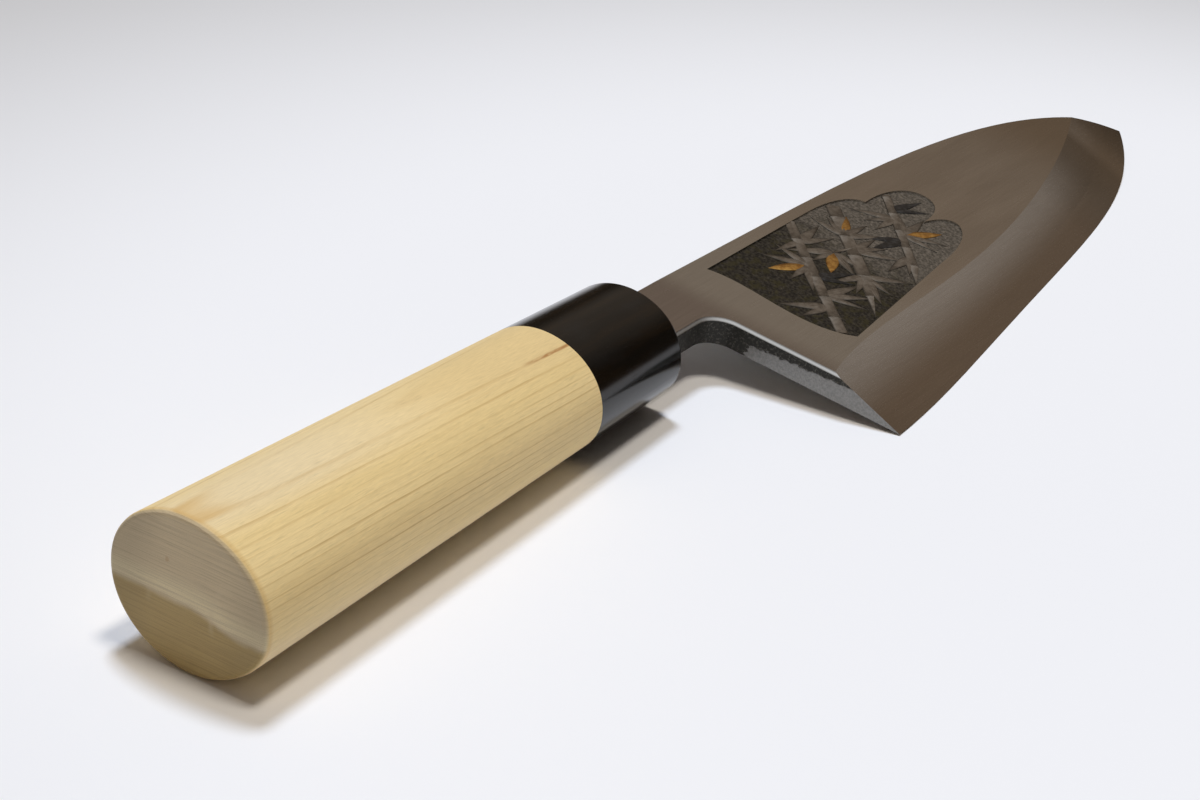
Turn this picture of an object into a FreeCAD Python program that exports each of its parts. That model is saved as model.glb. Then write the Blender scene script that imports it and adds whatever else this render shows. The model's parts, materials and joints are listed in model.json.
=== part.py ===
import FreeCAD, Part
import os
import re
import Sketcher

# A single-bevel kitchen knife: a laminated blade, a wooden handle and a dark ferrule.
# The knife is drawn along its handle axis: X from the butt face to the tip, Y towards the spine,
# Z out of the bevelled side. At the end every piece gets the same placement, which lays the knife
# on a table, bevel up, with its handle along the table and its edge touching it.

doc = FreeCAD.newDocument("deba_knife")

# Driving sizes, in millimetres. A name that ends in share is a plain ratio.
driving = [
    ("handle_length", 120.5),          # butt face to ferrule mouth
    ("ferrule_length", 28.0),
    ("butt_width", 31.2),              # oval section at the butt, along the blade's height
    ("butt_depth", 26.9),              # and across the blade
    ("mouth_width", 25.8),             # oval section at the ferrule mouth
    ("mouth_depth", 22.8),
    ("butt_round", 0.9),               # softened edge of the butt face
    ("mouth_round", 0.5),              # softened edge of the ferrule mouth
    ("oval_share", 0.552),             # pull of the oval's plain quarter
    ("full_share", 0.58),              # pull of its two fuller quarters
    ("slim_share", 0.49),              # pull of its slimmer quarter, under the edge side
    ("tenon_diameter", 19.0),          # round tenon of the wood inside the ferrule
    ("tenon_length", 20.0),
    ("glue_gap", 0.15),                # film between tenon and ferrule
    ("blade_length", 182.5),           # heel to tip
    ("blade_height", 56.0),            # spine to edge at the heel
    ("blade_thickness", 5.6),          # at the neck
    ("tip_thickness", 2.2),            # to which the flat falls at the tip
    ("steel_thickness", 2.3),          # hard steel layer at the heel
    ("steel_tip_thickness", 0.9),      # and at the tip
    ("spine_rise", 6.5),               # spine above the handle axis
    ("back_drop", 2.5),                # flat back below the handle axis
    ("neck_length", 20.0),             # ferrule mouth to the choil
    ("neck_height", 13.9),
    ("choil_lean", 1.0),               # heel ahead of the top of the choil
    ("choil_round", 5.5),              # inner corner between neck and choil
    ("choil_bevel", 0.6),              # polished bevel along the upper edge of the choil
    ("tang_length", 92.0),             # ferrule mouth to the end of the tang
    ("tang_end_height", 6.0),
    ("tang_end_thickness", 3.0),
    ("slot_gap", 0.7),                 # room for the filler round neck and tang
    ("seal_depth", 3.0),               # sealing resin in the mouth
    ("hollow_depth", 0.4),             # hollow ground into the back
    ("engraving_depth", 0.45),
    ("engraving_length", 82.0),
    ("engraving_height", 34.0),
    ("engraving_start", 9.5),          # ahead of the choil
    ("engraving_margin", 2.8),         # below the spine
    ("leaf_length", 10.0),             # gold leaf inlays
    ("leaf_width", 3.0),
    ("cut_overrun", 6.0),              # how far every cutter reaches past what it cuts
    ("near", 0.005),                   # closeness at which edges count as lying on a plane
]

# Sizes that follow from the driving ones.
derived = [
    ("wood_length", "handle_length - ferrule_length"),
    ("choil_at", "handle_length + neck_length"),
    ("heel_at", "choil_at + choil_lean"),
    ("tip_at", "heel_at + blade_length"),
    ("neck_root", "wood_length + tenon_length"),
    ("tang_end", "handle_length - tang_length"),
    ("neck_low", "neck_height - spine_rise"),
    ("neck_middle", "spine_rise - neck_height / 2"),
    ("edge_low", "blade_height - spine_rise"),
    ("face_level", "blade_thickness - back_drop"),
    ("core_middle", "blade_thickness / 2 - back_drop"),
    ("taper_run", "tip_at - choil_at"),
    ("taper", "(blade_thickness - tip_thickness) / taper_run"),
    ("weld_level", "steel_thickness - back_drop"),
    ("weld_taper", "(steel_thickness - steel_tip_thickness) / taper_run"),
    ("far_at", "tip_at + cut_overrun"),
    ("far_low", "edge_low + cut_overrun"),
    ("width_loss", "(butt_width - mouth_width) / handle_length"),
    ("depth_loss", "(butt_depth - mouth_depth) / handle_length"),
]

# Spine curve behind the tip: (share of blade length from the heel, share of height below the spine).
spine_shares = [(0.185, 0.0), (0.555, 0.0), (0.918, 0.01), (1.006, 0.5)]

# Bevel: (share of length from the heel, shinogi line and edge as shares of height below the spine).
bevel_shares = [
    (-0.04, 0.764, 1.01),
    (0.3, 0.665, 0.939),
    (0.58, 0.587, 0.849),
    (0.78, 0.457, 0.75),
    (0.92, 0.325, 0.608),
    (1.04, 0.156, 0.389),
]
bevel_reach_share = 0.35               # how far the bevel cutter runs on past both lines

# Outline of the engraved ground, lobed like a bank of mist: shares of its length and height.
# Each entry is one corner, or a curve's two pulls and its end.
ground_shares = [
    [(0.06, 0.02)],
    [(0.6, 0.0)],
    [(0.72, 0.0), (0.8, 0.06), (0.8, 0.16)],
    [(0.92, 0.14), (1.0, 0.22), (1.0, 0.34)],
    [(1.0, 0.47), (0.94, 0.54), (0.85, 0.54)],
    [(0.93, 0.58), (0.95, 0.67), (0.91, 0.74)],
    [(0.87, 0.82), (0.78, 0.87), (0.68, 0.88)],
    [(0.1, 1.0)],
    [(0.0, 0.72), (0.1, 0.3), (0.06, 0.02)],
]

# Gold leaves in the engraved ground: shares of its length and height, and the turn in degrees.
leaf_places = [
    (0.27, 0.3, 152.0),
    (0.4, 0.44, 205.0),
    (0.62, 0.24, 24.0),
    (0.78, 0.62, -30.0),
]

# Outline of one leaf: shares of its length and width from its middle.
# It starts at the stem; each entry after that is a curve's two pulls and its end.
leaf_shares = [
    [(-0.5, 0.0)],
    [(-0.3, 0.75), (0.15, 0.6), (0.5, 0.0)],
    [(0.15, -0.6), (-0.3, -0.75), (-0.5, 0.0)],
]

# Steps of the softened rims: shares of the radius along the axis and inwards, on a quarter circle.
rim_shares = [(0.0, 1.0), (0.134, 0.5), (0.5, 0.134), (1.0, 0.0)]

# Hollow in the back: shares of blade length from the heel and of height below the spine.
hollow_shares = [
    [(0.03, 0.09)],
    [(0.185, 0.09)],
    [(0.5, 0.09), (0.76, 0.12), (0.87, 0.36)],
    [(0.8, 0.56), (0.5, 0.78), (0.03, 0.9)],
    [(0.03, 0.09)],
]

rest_samples, rest_rounds = 200, 40    # points on each edge and tries when the knife is laid down


def make_sheet():
    sheet = doc.addObject("Spreadsheet::Sheet", "sizes")
    rows = driving + derived
    for row, (name, content) in enumerate(rows, start=1):
        sheet.set(f"A{row}", name)
        sheet.set(f"B{row}", f"={content}" if isinstance(content, str) else str(content))
        sheet.setAlias(f"B{row}", name)
    doc.recompute()
    return sheet


sizes = make_sheet()
names = {name for name, content in driving + derived}


def bound(text):
    return re.sub(r"[a-z_]+", lambda word: f"sizes.{word[0]}" if word[0] in names else word[0], text)


def value(text):
    return float(sizes.evalExpression(bound(text)))


def share(amount, of):
    return f"{amount} * {of}"


def new_body(label):
    body = doc.addObject("PartDesign::Body", label)
    body.Label = label
    return body


def new_sketch(body, name, role, offset="0", tilt=None):
    sketch = body.newObject("Sketcher::SketchObject", f"{body.Label}_{name}")
    plane = next(item for item in body.Origin.OriginFeatures if item.Role == role)
    sketch.AttachmentSupport = [(plane, "")]
    sketch.MapMode = "FlatFace"
    if tilt:
        sketch.AttachmentOffset = FreeCAD.Placement(FreeCAD.Vector(), FreeCAD.Rotation(tilt["axis"], 1))
        sketch.setExpression("AttachmentOffset.Rotation.Angle", bound(tilt["angle"]))
        sketch.setExpression("AttachmentOffset.Base.x", bound(tilt["along"]))
    sketch.setExpression("AttachmentOffset.Base.z", bound(offset))
    return sketch


def pin(sketch, geometry, vertex, point):
    for kind, text in zip(("DistanceX", "DistanceY"), point):
        index = sketch.addConstraint(Sketcher.Constraint(kind, -1, 1, geometry, vertex, value(text)))
        sketch.setExpression(f"Constraints[{index}]", bound(text))


def vector(point):
    return FreeCAD.Vector(value(point[0]), value(point[1]), 0)


def add_curve(sketch, poles):
    curve = Part.BSplineCurve()
    last = len(poles) - 1
    curve.buildFromPolesMultsKnots([vector(pole) for pole in poles], [last + 1] * 2, [0.0, 1.0], False, last)
    geometry = sketch.addGeometry(curve, False)
    first = None
    for index, pole in enumerate(poles):
        knob = sketch.addGeometry(Part.Circle(vector(pole), FreeCAD.Vector(0, 0, 1), 1), True)
        if first is None:
            first = knob
            sketch.addConstraint(Sketcher.Constraint("Weight", knob, 1.0))
        else:
            sketch.addConstraint(Sketcher.Constraint("Equal", first, knob))
        role = "InternalAlignment:Sketcher::BSplineControlPoint"
        sketch.addConstraint(Sketcher.Constraint(role, knob, 3, geometry, index))
        pin(sketch, knob, 3, pole)
    return geometry


def add_path(sketch, start, legs):
    # Each leg is one point for a straight side, or two pulls and an end for a curved one.
    here = start
    joints = []
    for leg in legs:
        if len(leg) == 1:
            geometry = sketch.addGeometry(Part.LineSegment(vector(here), vector(leg[0])), False)
        else:
            geometry = add_curve(sketch, [here] + leg)
        joints.append((geometry, here, len(leg) == 1))
        here = leg[-1]
    for (geometry, _, straight), (following, _, next_straight) in zip(joints, joints[1:] + joints[:1]):
        if straight or next_straight:
            sketch.addConstraint(Sketcher.Constraint("Coincident", geometry, 2, following, 1))
    for index, (geometry, point, straight) in enumerate(joints):
        if straight and joints[index - 1][2]:
            pin(sketch, geometry, 1, point)


def add_polygon(sketch, points):
    add_path(sketch, points[0], [[point] for point in points[1:] + points[:1]])


def add_feature(body, kind, name, **settings):
    feature = body.newObject(f"PartDesign::{kind}", f"{body.Label}_{name}")
    for key, content in settings.items():
        if isinstance(content, str) and key in ("Length", "Radius", "Size"):
            feature.setExpression(key, bound(content))
        else:
            setattr(feature, key, content)
    doc.recompute()
    return feature


def cut_feature(body, kind, name, **settings):
    before = body.Shape.Volume
    feature = add_feature(body, kind, name, **settings)
    if not feature.Shape.Volume < before:
        raise RuntimeError(f"{feature.Name} removes nothing")
    return feature


def edges_where(shape, test):
    return [f"Edge{number}" for number, edge in enumerate(shape.Edges, start=1) if test(edge)]


def oval(sketch, half_width, half_depth):
    # Four quarter curves, of unlike fullness, give the soft hand-shaped section.
    corners = [(half_width, "0"), ("0", half_depth), (f"-({half_width})", "0"), ("0", f"-({half_depth})")]
    legs = []
    pulls = ["oval_share", "full_share", "slim_share", "full_share"]
    for index, (here, there) in enumerate(zip(corners, corners[1:] + corners[:1])):
        pull = pulls[index]
        across = here if index % 2 == 0 else there
        along = there if index % 2 == 0 else here
        bend = [(across[0], f"({along[1]}) * {pull}"), (f"({across[0]}) * {pull}", along[1])]
        legs.append((bend if index % 2 == 0 else bend[::-1]) + [there])
    add_path(sketch, corners[0], legs)


def handle_section(body, name, at, inset="0"):
    sketch = new_sketch(body, name, "YZ_Plane", at)
    half_width = f"(butt_width - width_loss * ({at})) / 2 - {inset}"
    half_depth = f"(butt_depth - depth_loss * ({at})) / 2 - {inset}"
    oval(sketch, half_width, half_depth)
    return sketch


def rectangle(body, name, at, height, thickness):
    sketch = new_sketch(body, name, "YZ_Plane", at)
    top, low = f"neck_middle + ({height}) / 2", f"neck_middle - ({height}) / 2"
    face, back = f"core_middle + ({thickness}) / 2", f"core_middle - ({thickness}) / 2"
    add_polygon(sketch, [(top, back), (top, face), (low, face), (low, back)])
    return sketch


def add_circle(body, name, diameter):
    # A circle on the handle axis, where wood and ferrule meet.
    sketch = new_sketch(body, name, "YZ_Plane", "wood_length")
    circle = sketch.addGeometry(Part.Circle(FreeCAD.Vector(), FreeCAD.Vector(0, 0, 1), value(diameter) / 2))
    sketch.addConstraint(Sketcher.Constraint("Coincident", circle, 3, -1, 1))
    index = sketch.addConstraint(Sketcher.Constraint("Diameter", circle, value(diameter)))
    sketch.setExpression(f"Constraints[{index}]", bound(diameter))
    return sketch


def neck_section(body, name, at, grow="0"):
    return rectangle(body, name, at, f"neck_height + 2 * {grow}", f"blade_thickness + 2 * {grow}")


def tang_sections(body, name, grow="0"):
    # The tang narrows evenly from the neck to its end; grow widens it all round for slot and filler.
    root = neck_section(body, f"{name}_root", "neck_root", grow)
    end = rectangle(
        body, f"{name}_end", f"tang_end - {grow}",
        f"tang_end_height + 2 * {grow}", f"tang_end_thickness + 2 * {grow}",
    )
    return root, end


def make_handle():
    body = new_body("handle")
    rim = [
        handle_section(body, f"butt_{index}", share(along, "butt_round"), share(inward, "butt_round"))
        for index, (along, inward) in enumerate(rim_shares)
    ]
    joint = handle_section(body, "joint", "wood_length")
    add_feature(body, "AdditiveLoft", "grip", Profile=rim[0], Sections=rim[1:] + [joint], Ruled=True)
    tenon = add_circle(body, "tenon_circle", "tenon_diameter")
    add_feature(body, "Pad", "tenon", Profile=tenon, Length="tenon_length")
    root, end = tang_sections(body, "slot", "slot_gap")
    cut_feature(body, "SubtractiveLoft", "tang_slot", Profile=root, Sections=[end], Ruled=True)
    return body


def make_ferrule():
    body = new_body("ferrule")
    joint = handle_section(body, "joint", "wood_length")
    rim = [
        handle_section(
            body, f"mouth_{index}", f"handle_length - {along} * mouth_round", share(inward, "mouth_round")
        )
        for index, (along, inward) in enumerate(rim_shares)
    ]
    add_feature(body, "AdditiveLoft", "ring", Profile=joint, Sections=rim[::-1], Ruled=True)
    bore = add_circle(body, "bore_circle", "tenon_diameter + 2 * glue_gap")
    cut_feature(body, "Pocket", "bore", Profile=bore, Length="tenon_length", Reversed=True)
    gate = neck_section(body, "gate", "handle_length", "slot_gap")
    cut_feature(body, "Pocket", "neck_slot", Profile=gate, Type=1, Midplane=True)
    return body


def make_tang_bed():
    # Resin that beds the tang in the wood and the neck in the ferrule.
    body = new_body("tang_bed")
    root, end = tang_sections(body, "outer", "slot_gap")
    add_feature(body, "AdditiveLoft", "bed", Profile=root, Sections=[end], Ruled=True)
    neck = neck_section(body, "neck_outer", "neck_root", "slot_gap")
    add_feature(body, "Pad", "neck_bed", Profile=neck, Length="handle_length - seal_depth - neck_root")
    root, end = tang_sections(body, "inner")
    cut_feature(body, "SubtractiveLoft", "tang_room", Profile=root, Sections=[end], Ruled=True)
    neck = neck_section(body, "neck_inner", "neck_root")
    cut_feature(body, "Pocket", "neck_room", Profile=neck, Type=1, Reversed=True)
    return body


def make_mouth_seal():
    # Sealing resin round the neck, flush with the ferrule mouth.
    body = new_body("mouth_seal")
    outer = neck_section(body, "outer", "handle_length", "slot_gap")
    add_feature(body, "Pad", "block", Profile=outer, Length="seal_depth", Reversed=True)
    inner = neck_section(body, "inner", "handle_length")
    cut_feature(body, "Pocket", "neck_room", Profile=inner, Type=1, Midplane=True)
    return body


def spine_point(along, down):
    return f"heel_at + {along} * blade_length", f"spine_rise - {down} * blade_height"


def blade_plan(body, name, start):
    # Plan of the blade from the given root line; the bevel cutter takes off what lies past the edge.
    sketch = new_sketch(body, name, "XY_Plane", "-back_drop")
    poles = [spine_point(*shares) for shares in spine_shares[::-1]]
    corners = [(start, "spine_rise"), (start, "-neck_low")]
    if start != "choil_at":
        corners.append(("choil_at", "-neck_low"))
    corners += [("heel_at", "-far_low"), ("far_at", "-far_low"), poles[0]]
    legs = [[corner] for corner in corners[1:]] + [poles[1:]] + [[corners[0]]]
    add_path(sketch, corners[0], legs)
    return sketch


def side_cut(body, name, level, fall, towards):
    # Cuts along a plane that falls from the choil to the tip, on the side given by towards.
    sketch = new_sketch(body, name, "XZ_Plane")
    far_level = f"{level} - {fall} * (far_at - choil_at)"
    out = f"{towards} * (blade_thickness + cut_overrun)"
    add_polygon(sketch, [("choil_at", level), ("far_at", far_level), ("far_at", out), ("choil_at", out)])
    return cut_feature(body, "Pocket", f"{name}_cut", Profile=sketch, Type=1, Midplane=True)


def cut_bevel(body):
    # Four-sided cutters at stations along the blade; one side lies on the bevel.
    stations = []
    for index, (along, ridge_down, edge_down) in enumerate(bevel_shares):
        at = f"(heel_at + {along} * blade_length)"
        sketch = new_sketch(body, f"bevel_{index}", "YZ_Plane", at)
        edge = f"(spine_rise - {edge_down} * blade_height)"
        run = f"({edge_down - ridge_down:.3f} * blade_height)"
        rise = f"(blade_thickness - taper * ({at} - choil_at))"
        high = f"{1 + bevel_reach_share} * {rise} - back_drop"
        deep = f"-{bevel_reach_share} * {rise} - back_drop"
        corners = [
            (f"{edge} + {1 + bevel_reach_share} * {run}", high),
            (f"{edge} - {bevel_reach_share} * {run}", deep),
            ("-far_low - cut_overrun", deep),
            ("-far_low - cut_overrun", high),
        ]
        add_polygon(sketch, corners)
        stations.append(sketch)
    return cut_feature(body, "SubtractiveLoft", "bevel", Profile=stations[0], Sections=stations[1:])


def face_sketch(body, name):
    # A sketch on the blade's flat, which falls towards the tip.
    tilt = {"axis": FreeCAD.Vector(0, 1, 0), "angle": "atan(taper)", "along": "choil_at"}
    return new_sketch(body, name, "XY_Plane", "face_level", tilt)


def ground_point(along, down):
    return (
        f"engraving_start + {along} * engraving_length",
        f"spine_rise - engraving_margin - {down} * engraving_height",
    )


def make_blade():
    body = new_body("blade_iron")
    plan = blade_plan(body, "plan", "neck_root")
    add_feature(body, "Pad", "slab", Profile=plan, Length="blade_thickness")
    corner = FreeCAD.Vector(value("choil_at"), -value("neck_low"), value("core_middle"))
    upright = edges_where(body.Shape, lambda edge: edge.CenterOfMass.isEqual(corner, value("near")))
    add_feature(body, "Fillet", "choil_corner", Base=(body.Tip, upright), Radius="choil_round")
    near, face = value("near"), value("face_level")

    def on_choil(edge):
        box = edge.BoundBox
        low_enough = box.YMax < near - value("neck_low")
        return low_enough and box.ZMin > face - near and box.XMax < near + value("heel_at")

    rim = edges_where(body.Shape, on_choil)
    cut_feature(body, "Chamfer", "choil_edge", Base=(body.Tip, rim), Size="choil_bevel")
    side_cut(body, "taper", "face_level", "taper", 1)
    side_cut(body, "weld", "weld_level", "weld_taper", -1)
    cut_bevel(body)
    ground = face_sketch(body, "ground")
    legs = [[ground_point(*pair) for pair in leg] for leg in ground_shares]
    add_path(ground, legs[0][0], legs[1:])
    cut_feature(body, "Pocket", "engraving", Profile=ground, Length="engraving_depth")
    root, end = tang_sections(body, "tang")
    add_feature(body, "AdditiveLoft", "tang", Profile=root, Sections=[end], Ruled=True)
    return body


def make_edge_steel():
    body = new_body("edge_steel")
    plan = blade_plan(body, "plan", "choil_at")
    add_feature(body, "Pad", "slab", Profile=plan, Length="blade_thickness")
    side_cut(body, "weld", "weld_level", "weld_taper", 1)
    cut_bevel(body)
    hollow = new_sketch(body, "hollow", "XY_Plane", "-back_drop")
    legs = [[spine_point(*pair) for pair in leg] for leg in hollow_shares]
    add_path(hollow, legs[0][0], legs[1:])
    cut_feature(body, "Pocket", "hollow_back", Profile=hollow, Length="hollow_depth", Reversed=True)
    return body


def make_leaf(number, along, down, turn):
    # A pointed leaf, flush with the flat and bedded on the floor of the engraving.
    body = new_body(f"gold_leaf_{number}")
    sketch = face_sketch(body, "outline")
    middle = ground_point(along, down)
    turned = FreeCAD.Rotation(FreeCAD.Vector(0, 0, 1), turn)

    def leaf_point(length_share, width_share):
        one = turned.multVec(FreeCAD.Vector(length_share, 0, 0))
        two = turned.multVec(FreeCAD.Vector(0, width_share, 0))
        return tuple(
            f"{base} + ({a:.4f}) * leaf_length + ({b:.4f}) * leaf_width"
            for base, a, b in zip(middle, (one.x, one.y), (two.x, two.y))
        )

    legs = [[leaf_point(*pair) for pair in leg] for leg in leaf_shares]
    add_path(sketch, legs[0][0], legs[1:])
    add_feature(body, "Pad", "inlay", Profile=sketch, Length="engraving_depth", Reversed=True)
    return body


def resting_plane(handle, ferrule, steel):
    # The table touches the handle's underside at both its ends and the edge of the blade.
    def points_at(body, at):
        low, high = value(at) - value("near"), value(at) + value("near")
        rim = [edge for edge in body.Shape.Edges if low < edge.BoundBox.XMin and edge.BoundBox.XMax < high]
        return [point for edge in rim for point in edge.discretize(rest_samples)]

    outline = [point for edge in steel.Shape.Edges for point in edge.discretize(rest_samples)]
    edge_side = [point for point in outline if point.y < -value("neck_low")]
    rests = [points_at(handle, "butt_round"), points_at(ferrule, "handle_length - mouth_round"), edge_side]
    up = FreeCAD.Vector(0, 0, 1)
    for _ in range(rest_rounds):
        butt, mouth, edge = (min(points, key=up.dot) for points in rests)
        up = (edge - butt).cross(mouth - butt).normalize()
    return up, butt


def lay_down(bodies):
    up, touch = resting_plane(bodies["handle"], bodies["ferrule"], bodies["edge_steel"])
    ahead = (FreeCAD.Vector(1, 0, 0) - up * up.x).normalize()
    turn = FreeCAD.Rotation(ahead, up.cross(ahead), up, "ZXY").inverted()
    shape = Part.makeCompound([body.Shape for body in bodies.values()])
    shape.Placement = FreeCAD.Placement(FreeCAD.Vector(), turn)
    box = shape.optimalBoundingBox(True, False)
    middle = FreeCAD.Vector(box.Center.x, box.Center.y, turn.multVec(touch).z)
    for body in bodies.values():
        body.Placement = FreeCAD.Placement(-middle, turn)
    doc.recompute()


def check(bodies):
    for item in doc.Objects:
        if "Invalid" in item.State or "Error" in item.State:
            raise RuntimeError(f"{item.Name} failed: {item.State}")
    for label, body in bodies.items():
        shape = body.Shape
        if shape.isNull() or not shape.isValid() or len(shape.Solids) != 1:
            raise RuntimeError(f"{label} is not one valid solid")


def main():
    made = [
        make_handle(),
        make_ferrule(),
        make_tang_bed(),
        make_mouth_seal(),
        make_blade(),
        make_edge_steel(),
    ]
    made += [make_leaf(number, *place) for number, place in enumerate(leaf_places, start=1)]
    bodies = {body.Label: body for body in made}
    lay_down(bodies)
    check(bodies)
    os.makedirs("parts", exist_ok=True)
    for label, body in bodies.items():
        body.Shape.exportStep(f"parts/{label}.step")
        print(f"{label}: {body.Shape.Volume:.1f} cubic mm")


main()
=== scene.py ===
import json
import math
import bmesh
import bpy
from mathutils import Matrix, Vector


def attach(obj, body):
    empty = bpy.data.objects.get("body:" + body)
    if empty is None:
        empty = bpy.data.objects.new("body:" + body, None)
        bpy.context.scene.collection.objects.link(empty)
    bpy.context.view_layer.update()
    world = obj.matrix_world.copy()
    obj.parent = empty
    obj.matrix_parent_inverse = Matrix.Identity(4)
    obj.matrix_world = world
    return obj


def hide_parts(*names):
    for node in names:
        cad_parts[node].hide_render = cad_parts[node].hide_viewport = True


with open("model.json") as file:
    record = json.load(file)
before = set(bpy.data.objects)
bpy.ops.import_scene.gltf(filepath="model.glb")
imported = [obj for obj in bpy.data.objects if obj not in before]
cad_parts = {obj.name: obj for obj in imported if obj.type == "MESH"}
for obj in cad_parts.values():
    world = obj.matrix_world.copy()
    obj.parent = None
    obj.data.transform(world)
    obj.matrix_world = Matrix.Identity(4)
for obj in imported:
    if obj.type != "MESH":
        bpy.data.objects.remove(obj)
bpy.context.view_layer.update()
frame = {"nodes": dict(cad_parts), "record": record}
nodes = frame["nodes"]
print("frame loaded:", len(nodes), "nodes")

# the knife's own frame: x from butt to tip, y towards the spine, z out of the bevelled side
mounts = {mount["name"]: mount for mount in frame["record"]["mounts"]}
buttCentre = Vector(mounts["butt_face"]["pos_m"])
along = -Vector(mounts["butt_face"]["axis"]).normalized()
outward = -Vector(mounts["blade_back"]["axis"])
outward = (outward - outward.dot(along) * along).normalized()
across = outward.cross(along)
knifeTurn = Matrix((along, across, outward)).transposed()
knifeToWorld = Matrix.Translation(buttCentre) @ knifeTurn.to_4x4()
worldToKnife = knifeToWorld.inverted()
millimetre = 0.001
perMetre = 1000.0               # millimetres

# the flat of the blade, in the knife's millimetres
flatOfBlade = {
    "start": (140.5, 0.0, 3.1),     # where it begins to fall towards the tip
    "slope": 0.018529,
    "neckThickness": 5.6,
}

scene = bpy.context.scene
scene.view_settings.view_transform = "Standard"


# shader helpers

def addNode(tree, kind, values=None, **settings):
    node = tree.nodes.new("ShaderNode" + kind)
    for name, value in settings.items():
        setattr(node, name, value)
    for socket, value in (values or {}).items():
        if isinstance(value, bpy.types.NodeSocket):
            tree.links.new(value, node.inputs[socket])
        else:
            node.inputs[socket].default_value = value
    return node


def calc(tree, operation, first, second=0.0, third=0.0):
    values = {0: first, 1: second, 2: third}
    return addNode(tree, "Math", values, operation=operation).outputs[0]


def times(tree, first, second):
    return calc(tree, "MULTIPLY", first, second)


def minus(tree, first, second):
    return calc(tree, "SUBTRACT", first, second)


def scaleAdd(tree, value, factor, base):  # base + value * factor
    return calc(tree, "MULTIPLY_ADD", value, factor, base)


def ramp(tree, value, start, end, low=0.0, high=1.0):  # smooth change from start to end
    values = {"Value": value, "From Min": start, "From Max": end, "To Min": low, "To Max": high}
    return addNode(tree, "MapRange", values, interpolation_type="SMOOTHSTEP").outputs["Result"]


def band(tree, value, rise, fall):  # 1 between a rise and a fall
    return times(tree, ramp(tree, value, *rise), ramp(tree, value, *fall))


def mixColour(tree, factor, first, second, mode="MIX"):
    values = {0: factor, 6: first, 7: second}
    return addNode(tree, "Mix", values, data_type="RGBA", blend_type=mode).outputs[2]


def tint(tree, colour, tone):
    return mixColour(tree, 1.0, colour, tone, "MULTIPLY")


def mixValue(tree, factor, first, second):
    return addNode(tree, "Mix", {0: factor, 2: first, 3: second}, data_type="FLOAT").outputs[0]


def vectorValue(tree, operation, first, second):  # dot product or distance
    node = addNode(tree, "VectorMath", {0: first, 1: second}, operation=operation)
    return node.outputs["Value"]


def facing(tree, direction):  # 1 where the surface faces that way
    normal = addNode(tree, "NewGeometry").outputs["Normal"]
    return vectorValue(tree, "DOT_PRODUCT", normal, direction)


def resize(tree, place, amount):
    return addNode(tree, "VectorMath", {0: place, "Scale": amount}, operation="SCALE").outputs[0]


def cloud(tree, place, cells, detail=2.0, roughness=0.5):  # soft noise, so many cells per mm
    stretched = addNode(tree, "VectorMath", {0: place, 1: cells}, operation="MULTIPLY").outputs[0]
    values = {"Vector": stretched, "Scale": 1.0, "Detail": detail, "Roughness": roughness}
    return addNode(tree, "TexNoise", values).outputs["Fac"]


def waver(tree, place, cells, detail=2.0, roughness=0.5):  # the same noise about zero
    return minus(tree, cloud(tree, place, cells, detail, roughness), 0.5)


def rgb(red, green, blue):
    return (red, green, blue, 1.0)


def startGroup(name, inputs, outputs):
    tree = bpy.data.node_groups.new(name, "ShaderNodeTree")
    for label, kind, value in inputs:
        socket = tree.interface.new_socket(label, in_out="INPUT", socket_type="NodeSocket" + kind)
        socket.default_value = value
    for label, kind in outputs:
        tree.interface.new_socket(label, in_out="OUTPUT", socket_type="NodeSocket" + kind)
    return tree, tree.nodes.new("NodeGroupInput").outputs


def finishGroup(tree, results):
    ends = tree.nodes.new("NodeGroupOutput").inputs
    for label, value in results.items():
        tree.links.new(value, ends[label])
    return tree


def useGroup(tree, group, values=None):
    return addNode(tree, "Group", values, node_tree=group).outputs


def startMaterial(name, **constants):
    material = bpy.data.materials.new(name)
    material.use_nodes = True
    tree = material.node_tree
    shader = tree.nodes["Principled BSDF"]
    for label, value in constants.items():
        shader.inputs[label.replace("_", " ")].default_value = value
    return material, tree, shader


def finishMaterial(tree, shader, colour, rough, relief, bump):
    strength, distance = bump
    values = {"Height": relief, "Strength": strength, "Distance": distance}
    normal = addNode(tree, "Bump", values).outputs["Normal"]
    tree.links.new(colour, shader.inputs["Base Color"])
    tree.links.new(rough, shader.inputs["Roughness"])
    tree.links.new(normal, shader.inputs["Normal"])


# shared effects

def makeKnifePlace():  # a spot in the knife's own millimetres
    tree, _ = startGroup("knifePlace", [], [
        ("Place", "Vector"), ("Along", "Float"), ("Across", "Float"), ("Out", "Float")])
    place = addNode(tree, "Mapping", {
        "Vector": addNode(tree, "TexCoord").outputs["Object"],
        "Location": worldToKnife.translation * perMetre,
        "Rotation": worldToKnife.to_euler(),
        "Scale": (perMetre, perMetre, perMetre)}, vector_type="POINT").outputs[0]
    parts = addNode(tree, "SeparateXYZ", {0: place}).outputs
    return finishGroup(tree, {
        "Place": place, "Along": parts["X"], "Across": parts["Y"], "Out": parts["Z"]})


# thin handling scratches at a few slants
scratchLook = {
    "slants": (0.06, 0.5, -0.8),
    "axis": (0.15, 0.1, 1.0),
    "cells": (0.11, 5.0, 5.0),
    "threshold": (0.80, 0.62),      # with the least and the greatest amount
    "edge": 0.03,
}


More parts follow.
